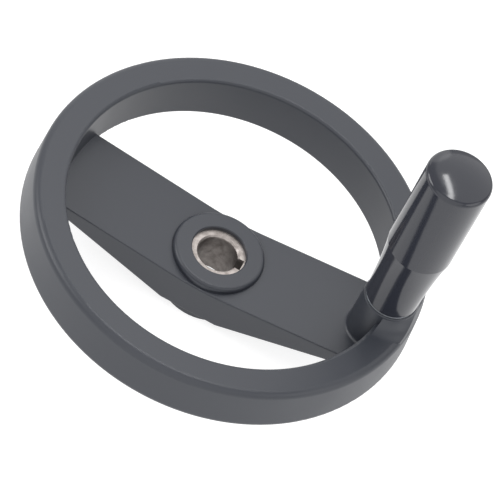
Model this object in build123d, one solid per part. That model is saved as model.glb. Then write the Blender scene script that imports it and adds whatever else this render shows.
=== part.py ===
from build123d import *
from math import asin, cos, radians, sin, tan
import os

os.makedirs("parts", exist_ok=True)

# All lengths in millimetres, all angles in degrees. The origin is on the bore's axis in the
# plane of the hub's lower face, +Z points to the handle's side, +X points to the handle.

# Rim of the wheel
WHEEL_DIAMETER = 160.0
RIM_WIDTH = 14.1
RIM_HEIGHT = 20.2
RIM_OUTER_DRAFT = 3.4
RIM_INNER_DRAFT = 1.6
RIM_TOP_OUTER_RADIUS = 2.8
RIM_TOP_INNER_RADIUS = 1.4
RIM_FOOT_OUTER_RADIUS = 2.6
RIM_FOOT_INNER_RADIUS = 1.2

# Bar that carries the hub and the handle boss
BAR_WIDTH = 39.2
BAR_RISE_ANGLE = 6.3
BAR_BEND_RADIUS = 115.0
BAR_DEPTH_AT_HUB = 14.3
BAR_DEPTH_AT_RIM = 4.4
BAR_SIDE_DRAFT = 0.5
BAR_EDGE_RADIUS = 0.6

# Hub with its raised face
HUB_DIAMETER = 37.0
HUB_DRAFT = 0.4
HUB_HEIGHT = 21.6
HUB_FACE_STEP = 1.8
HUB_FACE_RADIUS = 1.7
HUB_FOOT_STEP = 3.4
HUB_FOOT_CHAMFER = 0.4

# Steel bush in the hub, with a bore and keyway of standard size
BORE_DIAMETER = 16.0
KEYWAY_WIDTH = 5.0
KEYWAY_DEPTH = 2.3
BUSH_WALL = 3.05
BUSH_RECESS = 2.0
BUSH_CHAMFER = 0.6
BUSH_GROOVE_DEPTH = 0.35
BUSH_GROOVE_WIDTH = 5.0
BUSH_MOUTH_CHAMFER = 0.35

# Boss under the handle
HANDLE_FROM_RIM_EDGE = 14.0
BOSS_DIAMETER = 21.6
BOSS_RISE = 5.1
BOSS_EDGE_RADIUS = 0.5
BOSS_FOOT_RADIUS = 1.2
FLARE_WIDTH = 7.0
FLARE_HEIGHT = 4.2

# Threaded bush in the boss
THREAD_DIAMETER = 10.0
THREAD_LENGTH = 15.0
THREAD_CLEARANCE = 0.05
INSERT_WALL = 2.5
INSERT_LENGTH = 17.0
INSERT_GROOVE_DEPTH = 0.6
INSERT_GROOVE_WIDTH = 4.0
INSERT_CHAMFER = 0.5

# Spindle: thread, collar, smooth pin and ring groove, turned from one bar
COLLAR_DIAMETER = 20.4
COLLAR_THICKNESS = 0.5
COLLAR_CHAMFER = 0.15
PIN_DIAMETER = 11.0
PIN_CHAMFER = 0.8
SOCKET_ACROSS_FLATS = 5.0
SOCKET_DEPTH = 5.0

# Retaining ring in the groove near the pin's end
RING_THICKNESS = 1.2
RING_FROM_PIN_END = 7.0
RING_GROOVE_DEPTH = 0.9
RING_STAND_OUT = 0.6
RING_PLAY = 0.1
RING_GAP_ANGLE = 40.0

# Grip that turns on the pin
GRIP_FOOT_DIAMETER = 20.9
GRIP_WAIST_DIAMETER = 21.8
GRIP_WAIST_HEIGHT = 21.0
GRIP_SEAM_DIAMETER = 25.8
GRIP_SEAM_HEIGHT = 33.5
GRIP_DIAMETER = 26.2
GRIP_SIDE_HEIGHT = 78.3
GRIP_CROWN_RISE = 2.6
GRIP_CROWN_RADIUS = 1.9
GRIP_FOOT_RADIUS = 0.4
GRIP_TOP_WALL = 13.9
GRIP_END_PLAY = 0.3
GRIP_BORE_CLEARANCE = 0.05
GRIP_BORE_SPARE_DEPTH = 1.5
GRIP_BORE_CHAMFER = 0.6
GRIP_GROOVE_CLEARANCE = 0.3

# Heights and radii that follow from the sizes above; rim_outer is the outer wall's sharp foot,
# which stands a little outside the rounded one
hub_radius = HUB_DIAMETER / 2
bore_radius = BORE_DIAMETER / 2
bush_radius = bore_radius + BUSH_WALL
bush_top = HUB_HEIGHT - BUSH_RECESS
outer_draft = radians(RIM_OUTER_DRAFT)
rim_outer = WHEEL_DIAMETER / 2 + RIM_FOOT_OUTER_RADIUS * (tan(outer_draft) + 1 / cos(outer_draft) - 1)
rim_inner = WHEEL_DIAMETER / 2 - RIM_WIDTH
rim_middle = WHEEL_DIAMETER / 2 - RIM_WIDTH / 2
bar_rise = tan(radians(BAR_RISE_ANGLE))
bar_top_at_hub = HUB_HEIGHT - HUB_FACE_STEP
bar_foot_at_hub = bar_top_at_hub - BAR_DEPTH_AT_HUB
bar_top_at_rim = bar_top_at_hub + (rim_inner - hub_radius) * bar_rise
rim_foot = bar_top_at_rim - BAR_DEPTH_AT_RIM
rim_top = rim_foot + RIM_HEIGHT
handle_distance = WHEEL_DIAMETER / 2 - HANDLE_FROM_RIM_EDGE
boss_radius = BOSS_DIAMETER / 2
boss_top = rim_top + BOSS_RISE
thread_radius = THREAD_DIAMETER / 2
insert_bore = thread_radius + THREAD_CLEARANCE
insert_radius = insert_bore + INSERT_WALL
collar_top = boss_top + COLLAR_THICKNESS
grip_foot = collar_top + GRIP_END_PLAY
grip_side_top = grip_foot + GRIP_SIDE_HEIGHT
grip_crown = grip_side_top + GRIP_CROWN_RISE
pin_radius = PIN_DIAMETER / 2
pin_end = grip_crown - GRIP_TOP_WALL - GRIP_BORE_SPARE_DEPTH
ring_middle = pin_end - RING_FROM_PIN_END
ring_slot = RING_THICKNESS + 2 * RING_PLAY
pin_groove_radius = pin_radius - RING_GROOVE_DEPTH
ring_inner = pin_groove_radius + RING_PLAY
ring_outer = pin_radius + RING_STAND_OUT
grip_bore = pin_radius + GRIP_BORE_CLEARANCE


def outline(*corners):
    """Closed outline on the XZ plane from corners of (x, z, rounding radius)."""
    points = [(x, 0, z) for x, z, _ in corners]
    radii = [radius for _, _, radius in corners]
    return make_face(FilletPolyline(*points, radius=radii, close=True))


def turned(*corners):
    """Solid turned about the Z axis from corners of (radius, z, rounding radius)."""
    return revolve(outline(*corners), Axis.Z)


def at_handle(shape):
    """The shape moved from the Z axis to the handle's axis."""
    return Pos(handle_distance, 0, 0) * shape


def disc(radius, bottom, top):
    """Upright cylinder about the Z axis between two heights."""
    return Pos(0, 0, bottom) * Cylinder(radius, top - bottom, align=(Align.CENTER, Align.CENTER, Align.MIN))


def rim():
    """Ring with drafted walls and four rounded corners."""
    outer_lean = RIM_HEIGHT * tan(outer_draft)
    inner_lean = RIM_HEIGHT * tan(radians(RIM_INNER_DRAFT))
    return turned(
        (rim_outer, rim_foot, RIM_FOOT_OUTER_RADIUS),
        (rim_outer - outer_lean, rim_top, RIM_TOP_OUTER_RADIUS),
        (rim_inner + inner_lean, rim_top, RIM_TOP_INNER_RADIUS),
        (rim_inner, rim_foot, RIM_FOOT_INNER_RADIUS),
    )


def bar():
    """Flat bar, sunk and thickest at the hub, thin where it runs into the rim."""
    foot_rise = (rim_foot - bar_foot_at_hub) / (rim_inner - hub_radius)
    top_at_axis = bar_top_at_hub - hub_radius * bar_rise
    foot_at_axis = bar_foot_at_hub - hub_radius * foot_rise
    top_at_end = top_at_axis + rim_middle * bar_rise
    foot_at_end = foot_at_axis + rim_middle * foot_rise
    side_view = outline(
        (-rim_middle, top_at_end, 0),
        (0, top_at_axis, BAR_BEND_RADIUS),
        (rim_middle, top_at_end, 0),
        (rim_middle, foot_at_end, 0),
        (0, foot_at_axis, 0),
        (-rim_middle, foot_at_end, 0),
    )
    blank = extrude(side_view, BAR_WIDTH, both=True)
    depth = top_at_end - foot_at_axis
    narrowing = depth * tan(radians(BAR_SIDE_DRAFT))
    section = Plane.YZ * make_face(Polyline(
        (-BAR_WIDTH / 2, top_at_end),
        (BAR_WIDTH / 2, top_at_end),
        (BAR_WIDTH / 2 - narrowing, foot_at_axis),
        (narrowing - BAR_WIDTH / 2, foot_at_axis),
        close=True,
    ))
    body = blank & extrude(section, rim_middle, both=True)
    body = split(body, Plane.XY.offset(HUB_FOOT_STEP), keep=Keep.TOP)
    sides = body.faces().filter_by(lambda face: abs(face.normal_at().Y) > 0.9)
    body = fillet(sides.edges().filter_by(lambda edge: abs(edge.tangent_at(0.5).X) > 0.9), BAR_EDGE_RADIUS)
    return body & disc(rim_middle, foot_at_axis, top_at_end)


def hub():
    """Round hub with a rounded shoulder round its raised face."""
    foot_radius = hub_radius - HUB_HEIGHT * tan(radians(HUB_DRAFT))
    return turned(
        (0, 0, 0),
        (foot_radius - HUB_FOOT_CHAMFER, 0, 0),
        (foot_radius, HUB_FOOT_CHAMFER, 0),
        (hub_radius, HUB_HEIGHT, HUB_FACE_RADIUS),
        (0, HUB_HEIGHT, 0),
    )


def boss():
    """Round boss that stands on the bar's end and above the rim."""
    root = rim_foot + (bar_top_at_rim - rim_foot) / 2
    return at_handle(turned(
        (0, root, 0),
        (boss_radius, root, 0),
        (boss_radius, boss_top, BOSS_EDGE_RADIUS),
        (0, boss_top, 0),
    ))


def shoulder():
    """Flare between boss and rim top, kept within the rim and leaning in at its outer side."""
    reach = boss_radius + FLARE_WIDTH
    flare_radius = (FLARE_WIDTH ** 2 + FLARE_HEIGHT ** 2) / (2 * FLARE_HEIGHT)
    half_way = asin(FLARE_WIDTH / flare_radius) / 2
    arc = ThreePointArc(
        (reach, 0, rim_top),
        (reach - flare_radius * sin(half_way), 0, rim_top + flare_radius * (1 - cos(half_way))),
        (boss_radius, 0, rim_top + FLARE_HEIGHT),
    )
    root = rim_top - RIM_TOP_OUTER_RADIUS
    walls = Polyline(arc @ 1, (0, 0, rim_top + FLARE_HEIGHT), (0, 0, root), (reach, 0, root), arc @ 0)
    flare = at_handle(revolve(make_face([arc] + walls.edges()), Axis.Z))
    outer_lean = (root - rim_foot) * tan(outer_draft)
    inner_lean = (rim_top - rim_foot) * tan(radians(RIM_INNER_DRAFT))
    keep = turned(
        (rim_outer - outer_lean, root, 0),
        (handle_distance + boss_radius, boss_top, 0),
        (rim_inner + inner_lean + RIM_TOP_INNER_RADIUS, boss_top, 0),
        (rim_inner + inner_lean + RIM_TOP_INNER_RADIUS, root, 0),
    )
    return flare & keep


def bush_blank():
    """Outside of the steel bush, with the groove that locks it in the hub."""
    middle = bush_top / 2
    floor = bush_radius - BUSH_GROOVE_DEPTH
    return turned(
        (0, 0, 0),
        (bush_radius, 0, 0),
        (bush_radius, middle - BUSH_GROOVE_WIDTH / 2, 0),
        (floor, middle - BUSH_GROOVE_WIDTH / 2, 0),
        (floor, middle + BUSH_GROOVE_WIDTH / 2, 0),
        (bush_radius, middle + BUSH_GROOVE_WIDTH / 2, 0),
        (bush_radius, bush_top, 0),
        (0, bush_top, 0),
    )


def bush_mouth():
    """Space above the bush in the hub's face, with a broken edge."""
    return turned(
        (0, bush_top, 0),
        (bush_radius, bush_top, 0),
        (bush_radius, HUB_HEIGHT - BUSH_MOUTH_CHAMFER, 0),
        (bush_radius + BUSH_MOUTH_CHAMFER, HUB_HEIGHT, 0),
        (0, HUB_HEIGHT, 0),
    )


def insert_blank():
    """Outside of the threaded bush, with the groove that locks it in the boss."""
    foot = boss_top - INSERT_LENGTH
    middle = foot + INSERT_LENGTH / 2
    floor = insert_radius - INSERT_GROOVE_DEPTH
    return turned(
        (0, foot, 0),
        (insert_radius, foot, 0),
        (insert_radius, middle - INSERT_GROOVE_WIDTH / 2, 0),
        (floor, middle - INSERT_GROOVE_WIDTH / 2, 0),
        (floor, middle + INSERT_GROOVE_WIDTH / 2, 0),
        (insert_radius, middle + INSERT_GROOVE_WIDTH / 2, 0),
        (insert_radius, boss_top, 0),
        (0, boss_top, 0),
    )


def wheel_body():
    """The wheel in one moulding round its two steel bushes."""
    body = rim() + bar() + hub() + boss() + shoulder()
    boss_foot = (handle_distance - boss_radius, 0, bar_top_at_rim)
    boss_edge = body.edges().filter_by(GeomType.ELLIPSE).sort_by_distance(boss_foot)[0]
    body = fillet(boss_edge, BOSS_FOOT_RADIUS)
    return body - bush_blank() - bush_mouth() - at_handle(insert_blank())


def hub_bush():
    """Steel bush with a through bore, a chamfered mouth and a keyway towards the handle."""
    bore = turned(
        (0, 0, 0),
        (bore_radius, 0, 0),
        (bore_radius, bush_top - BUSH_CHAMFER, 0),
        (bore_radius + BUSH_CHAMFER, bush_top, 0),
        (0, bush_top, 0),
    )
    keyway = Box(
        bore_radius + KEYWAY_DEPTH,
        KEYWAY_WIDTH,
        bush_top,
        align=(Align.MIN, Align.CENTER, Align.MIN),
    )
    return bush_blank() - bore - keyway


def handle_insert():
    """Threaded bush; the thread is drawn as a plain bore of its outer diameter."""
    foot = boss_top - INSERT_LENGTH
    bore = turned(
        (0, foot, 0),
        (insert_bore, foot, 0),
        (insert_bore, boss_top - INSERT_CHAMFER, 0),
        (insert_bore + INSERT_CHAMFER, boss_top, 0),
        (0, boss_top, 0),
    )
    return at_handle(insert_blank() - bore)


def handle_spindle():
    """Turned spindle with a hexagon socket in its end, the thread drawn as a plain end."""
    thread_end = boss_top - THREAD_LENGTH
    shank = turned(
        (0, thread_end, 0),
        (thread_radius - INSERT_CHAMFER, thread_end, 0),
        (thread_radius, thread_end + INSERT_CHAMFER, 0),
        (thread_radius, boss_top, 0),
        (COLLAR_DIAMETER / 2, boss_top, 0),
        (COLLAR_DIAMETER / 2, collar_top - COLLAR_CHAMFER, 0),
        (COLLAR_DIAMETER / 2 - COLLAR_CHAMFER, collar_top, 0),
        (pin_radius, collar_top, 0),
        (pin_radius, ring_middle - ring_slot / 2, 0),
        (pin_groove_radius, ring_middle - ring_slot / 2, 0),
        (pin_groove_radius, ring_middle + ring_slot / 2, 0),
        (pin_radius, ring_middle + ring_slot / 2, 0),
        (pin_radius, pin_end - PIN_CHAMFER, 0),
        (pin_radius - PIN_CHAMFER, pin_end, 0),
        (0, pin_end, 0),
    )
    hexagon = RegularPolygon(SOCKET_ACROSS_FLATS / 2, 6, major_radius=False)
    socket = Pos(0, 0, pin_end - SOCKET_DEPTH) * extrude(hexagon, SOCKET_DEPTH)
    return at_handle(shank - socket)


def retaining_ring():
    """Split spring ring, half in the pin's groove and half in the grip's."""
    half = RING_THICKNESS / 2
    section = outline(
        (ring_inner, ring_middle - half, 0),
        (ring_outer, ring_middle - half, 0),
        (ring_outer, ring_middle + half, 0),
        (ring_inner, ring_middle + half, 0),
    )
    return at_handle(revolve(section, Axis.Z, 360 - RING_GAP_ANGLE))


def handle_grip():
    """Moulded grip: hollow-sided foot, a moulding seam, a nearly straight upper part, a low dome."""
    foot_radius = GRIP_FOOT_DIAMETER / 2
    top_radius = GRIP_DIAMETER / 2
    seam = (GRIP_SEAM_DIAMETER / 2, 0, grip_foot + GRIP_SEAM_HEIGHT)
    waist = (GRIP_WAIST_DIAMETER / 2, 0, grip_foot + GRIP_WAIST_HEIGHT)
    side = Bezier((foot_radius, 0, grip_foot + GRIP_FOOT_RADIUS), waist, seam)
    dome_radius = (top_radius ** 2 + GRIP_CROWN_RISE ** 2) / (2 * GRIP_CROWN_RISE)
    half_way = asin(top_radius / dome_radius) / 2
    dome = ThreePointArc(
        (top_radius, 0, grip_side_top),
        (dome_radius * sin(half_way), 0, grip_crown - dome_radius * (1 - cos(half_way))),
        (0, 0, grip_crown),
    )
    upper = Line(seam, dome @ 0)
    rest = Polyline(
        dome @ 1,
        (0, 0, grip_foot),
        (foot_radius - GRIP_FOOT_RADIUS, 0, grip_foot),
        (foot_radius, 0, grip_foot + GRIP_FOOT_RADIUS),
    )
    solid = revolve(make_face([side, upper, dome] + rest.edges()), Axis.Z)
    crown_edge = solid.edges().filter_by(lambda edge: edge.is_closed).group_by(Axis.Z)[-1]
    solid = fillet(crown_edge, GRIP_CROWN_RADIUS)
    bore_end = pin_end + GRIP_BORE_SPARE_DEPTH
    slot = ring_slot / 2 + GRIP_GROOVE_CLEARANCE
    slot_radius = ring_outer + GRIP_GROOVE_CLEARANCE
    bore = turned(
        (0, grip_foot, 0),
        (grip_bore + GRIP_BORE_CHAMFER, grip_foot, 0),
        (grip_bore, grip_foot + GRIP_BORE_CHAMFER, 0),
        (grip_bore, ring_middle - slot, 0),
        (slot_radius, ring_middle - slot, 0),
        (slot_radius, ring_middle + slot, 0),
        (grip_bore, ring_middle + slot, 0),
        (grip_bore, bore_end, 0),
        (0, bore_end, 0),
    )
    return at_handle(solid - bore)


pieces = {
    "wheel_body": wheel_body,
    "hub_bush": hub_bush,
    "handle_insert": handle_insert,
    "handle_spindle": handle_spindle,
    "retaining_ring": retaining_ring,
    "handle_grip": handle_grip,
}

for name, make in pieces.items():
    piece = make()
    piece.label = name
    export_step(piece, f"parts/{name}.step")
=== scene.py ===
from math import cos, pi, radians, sin

import bpy
from mathutils import Matrix, Vector


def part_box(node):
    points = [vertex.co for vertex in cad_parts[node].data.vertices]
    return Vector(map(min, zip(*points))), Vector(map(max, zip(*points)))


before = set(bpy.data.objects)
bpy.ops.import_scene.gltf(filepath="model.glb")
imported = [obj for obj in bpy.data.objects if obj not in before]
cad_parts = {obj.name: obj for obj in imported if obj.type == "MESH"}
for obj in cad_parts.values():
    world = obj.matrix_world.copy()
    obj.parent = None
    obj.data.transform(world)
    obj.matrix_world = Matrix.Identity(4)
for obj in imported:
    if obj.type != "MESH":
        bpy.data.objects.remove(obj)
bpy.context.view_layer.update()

# Wheel body
# One moulding of black nylon filled with short glass fibres. The mould was spark eroded, which
# leaves a fine, even, satin grain, and the fibres cloud the gloss a little where they gather.
MM_PER_METRE = 1000.0
# The real grain is about 0.2 mm wide, too fine to show, so it is drawn coarser.
GRAIN_WIDTH_MM = 0.6
GRAIN_DEPTH_MM = 0.006
GRAIN_DETAIL = 3.0
CLOUD_WIDTH_MM = 18.0
CLOUD_DETAIL = 2.0
CLOUD_THINNEST = 0.3
CLOUD_THICKEST = 0.7
NYLON_BLACK = "#2a2d35"
NYLON_CLOUDED = "#2f3239"
NYLON_IOR = 1.53
NYLON_GLOSSIEST = 0.38
NYLON_DULLEST = 0.44


def linear(code):
    """Linear colour with alpha from an sRGB hex code, by the sRGB transfer curve."""
    channels = [int(code[i:i + 2], 16) / 255 for i in (1, 3, 5)]
    return [c / 12.92 if c <= 0.04045 else ((c + 0.055) / 1.055) ** 2.4 for c in channels] + [1.0]


def add(tree, kind, settings={}, links={}):
    """Adds a node with its properties or input values, joins its inputs, and gives its outputs.

    An input is named as Blender names it, or by its number where inputs share a name.
    """
    node = tree.nodes.new(kind)
    for name, value in settings.items():
        if hasattr(node, str(name)):
            setattr(node, name, value)
        else:
            node.inputs[name].default_value = value
    for name, output in links.items():
        tree.links.new(node.inputs[name], output)
    return node.outputs


def blank(name):
    """An empty material, its node tree, and the object's own coordinates in millimetres."""
    material = bpy.data.materials.new(name)
    material.use_nodes = True
    tree = material.node_tree
    tree.nodes.clear()
    metres = add(tree, "ShaderNodeTexCoord")["Object"]
    scaling = {"operation": "SCALE", "Scale": MM_PER_METRE}
    return material, tree, add(tree, "ShaderNodeVectorMath", scaling, {0: metres})["Vector"]


def glass_filled_nylon():
    """Moulded glass-filled nylon: near black, satin, with a spark-eroded grain and a faint cloudiness."""
    material, tree, place = blank("glass_filled_nylon")
    grain = add(
        tree,
        "ShaderNodeTexNoise",
        {"Scale": 1 / GRAIN_WIDTH_MM, "Detail": GRAIN_DETAIL},
        {"Vector": place},
    )
    cloud = add(
        tree,
        "ShaderNodeTexNoise",
        {"Scale": 1 / CLOUD_WIDTH_MM, "Detail": CLOUD_DETAIL},
        {"Vector": place},
    )
    colour = add(
        tree,
        "ShaderNodeMix",
        {"data_type": "RGBA", 6: linear(NYLON_BLACK), 7: linear(NYLON_CLOUDED)},
        {0: cloud["Fac"]},
    )
    dulling = add(
        tree,
        "ShaderNodeMapRange",
        {
            "From Min": CLOUD_THINNEST,
            "From Max": CLOUD_THICKEST,
            "To Min": NYLON_GLOSSIEST,
            "To Max": NYLON_DULLEST,
        },
        {"Value": cloud["Fac"]},
    )
    relief = add(
        tree,
        "ShaderNodeBump",
        {"Distance": GRAIN_DEPTH_MM / MM_PER_METRE},
        {"Height": grain["Fac"]},
    )
    shader = add(
        tree,
        "ShaderNodeBsdfPrincipled",
        {"IOR": NYLON_IOR},
        {"Base Color": colour[2], "Roughness": dulling["Result"], "Normal": relief["Normal"]},
    )
    add(tree, "ShaderNodeOutputMaterial", {}, {"Surface": shader["BSDF"]})
    return material


def dress(node, material):
    """Gives a CAD node its finish."""
    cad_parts[node].material_slots[0].material = material


dress("wheel_body", glass_filled_nylon())

# Hub bush
# A turned steel bush that the nylon is moulded round. Its end was faced on a lathe and shows faint
# rings. Handling has left thin brown stains on the bare metal. Low down, its bore is painted darker as
# painted shade.
# The real feed is 0.1 to 0.2 mm, too fine to show, so the rings are drawn coarser.
FACING_FEED_MM = 0.5
FACING_DEPTH_MM = 0.004
FACING_WANDER = 0.6
FACING_DETAIL = 1.0
# Blender's wave texture multiplies the radius by this before it takes the sine.
WAVE_RATE = 20
STAIN_WIDTH_MM = 2.5
STAIN_DETAIL = 4.0
STAIN_RAGGEDNESS = 0.65
STAIN_BEGINS = 0.38
STAIN_COVERS = 0.68
STAIN_DULLING = 0.15
STEEL_CLEAN = "#ada6a2"
STEEL_STAINED = "#928b87"
# Painted shade: below this height, deep in the bore, the steel is painted darker towards this colour,
# over this edge and to this strength.
STEEL_PAINTED_SHADE = "#524d4a"
PAINTED_SHADE_BELOW_MM = 19.0
PAINTED_SHADE_EDGE_MM = 1.2
PAINTED_SHADE_COVER = 0.6
STEEL_ROUGHNESS = 0.40


def turned_metal(name, clean, stained, roughness, axis_x_mm=0.0, painted_shade_below_mm=0.0):
    """Lathe-turned metal: fine rings about an upright axis, thin dull stains, and painted shade low down.
    """
    material, tree, place = blank(name)
    centred = add(
        tree,
        "ShaderNodeMapping",
        {"Location": (-axis_x_mm, 0.0, 0.0)},
        {"Vector": place},
    )
    rings = add(
        tree,
        "ShaderNodeTexWave",
        {
            "wave_type": "RINGS",
            "rings_direction": "Z",
            "Scale": 2 * pi / (WAVE_RATE * FACING_FEED_MM),
            "Distortion": FACING_WANDER,
            "Detail": FACING_DETAIL,
        },
        {"Vector": centred["Vector"]},
    )
    stain = add(
        tree,
        "ShaderNodeTexNoise",
        {"Scale": 1 / STAIN_WIDTH_MM, "Detail": STAIN_DETAIL, "Roughness": STAIN_RAGGEDNESS},
        {"Vector": place},
    )
    cover = add(
        tree,
        "ShaderNodeMapRange",
        {"From Min": STAIN_BEGINS, "From Max": STAIN_COVERS},
        {"Value": stain["Fac"]},
    )
    bare = add(
        tree,
        "ShaderNodeMix",
        {"data_type": "RGBA", 6: linear(clean), 7: linear(stained)},
        {0: cover["Result"]},
    )
    # Painted shade: the colour is darkened below the given height.
    height = add(tree, "ShaderNodeSeparateXYZ", {}, {"Vector": place})
    painted_shade = add(
        tree,
        "ShaderNodeMapRange",
        {"From Min": painted_shade_below_mm, "From Max": painted_shade_below_mm - PAINTED_SHADE_EDGE_MM, "To Max": PAINTED_SHADE_COVER},
        {"Value": height["Z"]},
    )
    colour = add(
        tree,
        "ShaderNodeMix",
        {"data_type": "RGBA", 7: linear(STEEL_PAINTED_SHADE)},
        {0: painted_shade["Result"], 6: bare[2]},
    )
    dulling = add(
        tree,
        "ShaderNodeMapRange",
        {"To Min": roughness, "To Max": roughness + STAIN_DULLING},
        {"Value": cover["Result"]},
    )
    relief = add(
        tree,
        "ShaderNodeBump",
        {"Distance": FACING_DEPTH_MM / MM_PER_METRE},
        {"Height": rings["Fac"]},
    )
    shader = add(
        tree,
        "ShaderNodeBsdfPrincipled",
        {"Metallic": 1.0},
        {"Base Color": colour[2], "Roughness": dulling["Result"], "Normal": relief["Normal"]},
    )
    add(tree, "ShaderNodeOutputMaterial", {}, {"Surface": shader["BSDF"]})
    return material


dress(
    "hub_bush",
    turned_metal(
        "turned_steel",
        STEEL_CLEAN,
        STEEL_STAINED,
        STEEL_ROUGHNESS,
        painted_shade_below_mm=PAINTED_SHADE_BELOW_MM,
    ),
)

# Handle insert
# A turned brass bush with an inner thread, moulded into the boss. The spindle's collar covers it, so
# it stays bright.
BRASS_CLEAN = "#d8b673"
BRASS_DULL = "#b9944f"
BRASS_ROUGHNESS = 0.30

insert_low, insert_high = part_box("handle_insert")
handle_x_mm = MM_PER_METRE * (insert_low[0] + insert_high[0]) / 2

dress(
    "handle_insert",
    turned_metal("turned_brass", BRASS_CLEAN, BRASS_DULL, BRASS_ROUGHNESS, handle_x_mm),
)

# Handle spindle
# Turned in one piece with its collar and zinc plated. The plating has gone dull, so the collar's
# edge shows only as a thin grey line under the grip.
ZINC_CLEAN = "#83868b"
ZINC_DULL = "#6c6f74"
ZINC_ROUGHNESS = 0.42

dress(
    "handle_spindle",
    turned_metal("zinc_plated_steel", ZINC_CLEAN, ZINC_DULL, ZINC_ROUGHNESS, handle_x_mm),
)

# Retaining ring
# Punched from spring steel and phosphated to a dark, dull grey, then snapped into its groove in the
# spindle, where the grip hides it.
PHOSPHATE_DARK = "#4a4b4d"
PHOSPHATE_PALE = "#5d5e61"
PHOSPHATE_ROUGHNESS = 0.45

dress(
    "retaining_ring",
    turned_metal(
        "phosphated_steel",
        PHOSPHATE_DARK,
        PHOSPHATE_PALE,
        PHOSPHATE_ROUGHNESS,
        handle_x_mm,
    ),
)

# Handle grip
# Pressed from a black thermosetting resin in a polished mould, which leaves it glossy, with a slight
# waviness from the cure.
RESIN_BLACK = "#25272f"
RESIN_IOR = 1.52
RESIN_ROUGHNESS = 0.13
CURE_WIDTH_MM = 9.0
CURE_DEPTH_MM = 0.025
CURE_DETAIL = 1.0


def pressed_resin():
    """Polished pressed resin: near black and glossy, with a very slight waviness."""
    material, tree, place = blank("pressed_resin")
    wave = add(
        tree,
        "ShaderNodeTexNoise",
        {"Scale": 1 / CURE_WIDTH_MM, "Detail": CURE_DETAIL},
        {"Vector": place},
    )
    relief = add(
        tree,
        "ShaderNodeBump",
        {"Distance": CURE_DEPTH_MM / MM_PER_METRE},
        {"Height": wave["Fac"]},
    )
    shader = add(
        tree,
        "ShaderNodeBsdfPrincipled",
        {"Base Color": linear(RESIN_BLACK), "IOR": RESIN_IOR, "Roughness": RESIN_ROUGHNESS},
        {"Normal": relief["Normal"]},
    )
    add(tree, "ShaderNodeOutputMaterial", {}, {"Surface": shader["BSDF"]})
    return material


dress("handle_grip", pressed_resin())

# Studio
# The wheel stands on its hub on an opal sheet that glows from below, in a white room. Round soft
# lamps stand behind it, at its sides and in front, and a narrow strip of light above it gives the
# bright bar on the grip's crown.
ROOM_WHITE = "#ffffff"
ROOM_STRENGTH = 0.67
SHEET_SIZE = 8.0
# The sheet lies just under the hub, so that the two faces don't coincide.
SHEET_TOP = -0.0001
SHEET_WHITE = "#a0a0a0"
SHEET_ROUGHNESS = 0.9
SHEET_GLOW = 0.82
LAMP_DISTANCE = 1.2
LAMPS = {
    "back_light": {"azimuth": 70.0, "elevation": 50.0, "size": 1.6, "power": 5.2},
    "side_light": {"azimuth": 122.0, "elevation": 24.0, "size": 0.85, "power": 1.8},
    "left_light": {"azimuth": 186.0, "elevation": 38.0, "size": 0.7, "power": 5.0},
    "front_light": {"azimuth": 275.0, "elevation": 35.0, "size": 1.9, "power": 6.5},
    "right_light": {"azimuth": 348.0, "elevation": 28.0, "size": 0.85, "power": 2.6},
}
STRIP_FROM = {"azimuth": 112.0, "elevation": 62.0}
STRIP_TO = {"azimuth": 5.0, "elevation": 83.0}
STRIP_WIDTH = 0.11
STRIP_POWER = 2.5

room = bpy.data.worlds.new("white_room")
bpy.context.scene.world = room
room.use_nodes = True
room.node_tree.nodes.clear()
walls = add(
    room.node_tree,
    "ShaderNodeBackground",
    {"Color": linear(ROOM_WHITE), "Strength": ROOM_STRENGTH},
)
add(room.node_tree, "ShaderNodeOutputWorld", {}, {"Surface": walls["Background"]})

mesh = bpy.data.meshes.new("sheet")
half = SHEET_SIZE / 2
corners = [
    (-half, -half, SHEET_TOP),
    (half, -half, SHEET_TOP),
    (half, half, SHEET_TOP),
    (-half, half, SHEET_TOP),
]
mesh.from_pydata(corners, [], [(0, 1, 2, 3)])
sheet = bpy.data.objects.new("sheet", mesh)
bpy.context.scene.collection.objects.link(sheet)
opal, tree = blank("opal_sheet")[:2]
shader = add(
    tree,
    "ShaderNodeBsdfPrincipled",
    {
        "Base Color": linear(SHEET_WHITE),
        "Roughness": SHEET_ROUGHNESS,
        "Emission Color": linear(ROOM_WHITE),
        "Emission Strength": SHEET_GLOW,
    },
)
add(tree, "ShaderNodeOutputMaterial", {}, {"Surface": shader["BSDF"]})
mesh.materials.append(opal)


def towards_lamp(place):
    """Direction from the object to a place in the room given by its azimuth and elevation."""
    turn = radians(place["azimuth"])
    rise = radians(place["elevation"])
    return Vector((cos(turn) * cos(rise), sin(turn) * cos(rise), sin(rise)))


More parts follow.
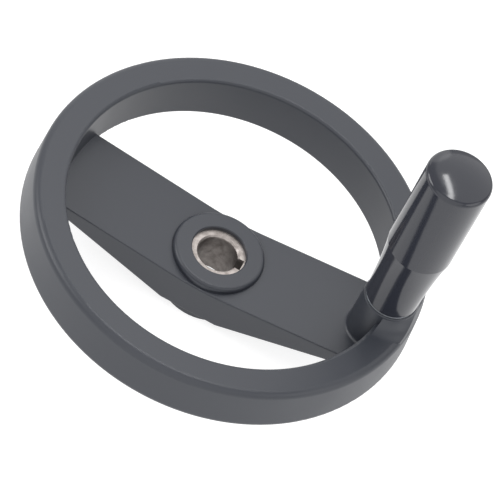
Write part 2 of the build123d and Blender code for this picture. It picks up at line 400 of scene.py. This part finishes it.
def soft_light(name, shape, size, power):
    """An area light in the scene, its size in metres and its power in watts."""
    data = bpy.data.lights.new(name, "AREA")
    data.shape = shape
    data.size = size
    data.energy = power
    light = bpy.data.objects.new(name, data)
    bpy.context.scene.collection.objects.link(light)
    return light


for name, lamp in LAMPS.items():
    light = soft_light(name, "DISK", lamp["size"], lamp["power"])
    outwards = towards_lamp(lamp)
    light.location = outwards * LAMP_DISTANCE
    light.rotation_euler = outwards.to_track_quat("Z", "Y").to_euler()

strip_start = towards_lamp(STRIP_FROM) * LAMP_DISTANCE
strip_end = towards_lamp(STRIP_TO) * LAMP_DISTANCE
strip = soft_light("strip_light", "RECTANGLE", (strip_end - strip_start).length, STRIP_POWER)
strip.data.size_y = STRIP_WIDTH
along = (strip_end - strip_start).normalized()
outwards = ((strip_start + strip_end) / 2).normalized()
strip.matrix_world = Matrix.LocRotScale(
    outwards * LAMP_DISTANCE,
    Matrix((along, outwards.cross(along), outwards)).transposed(),
    None,
)

# Camera
# It looks down on the wheel from the front, far off, and rolled so that the handle is to the right.
# Its azimuth is 0 in front of the wheel, on the side of -Y.
CAMERA_AIM = Vector((0.01027, -0.00865, 0.04083))
CAMERA_DISTANCE = 1.9008
CAMERA_AZIMUTH = 0.47
CAMERA_ELEVATION = 50.41
CAMERA_ROLL = 27.97
CAMERA_LENS_MM = 360.0
CAMERA_SENSOR_MM = 36.0

camera_data = bpy.data.cameras.new("camera")
camera_data.lens = CAMERA_LENS_MM
camera_data.sensor_width = CAMERA_SENSOR_MM
camera = bpy.data.objects.new("camera", camera_data)
bpy.context.scene.collection.objects.link(camera)
turn = radians(CAMERA_AZIMUTH)
rise = radians(CAMERA_ELEVATION)
roll = radians(CAMERA_ROLL)
back = Vector((sin(turn) * cos(rise), -cos(turn) * cos(rise), sin(rise)))
level = Vector((cos(turn), sin(turn), 0))
upright = back.cross(level)
right = level * cos(roll) + upright * sin(roll)
up = upright * cos(roll) - level * sin(roll)
axes = Matrix((right, up, back)).transposed()
camera.matrix_world = Matrix.LocRotScale(CAMERA_AIM + back * CAMERA_DISTANCE, axes, None)
bpy.context.scene.camera = camera
# The picture keeps plain whites and blacks, as the photo does.
bpy.context.scene.view_settings.view_transform = "Standard"
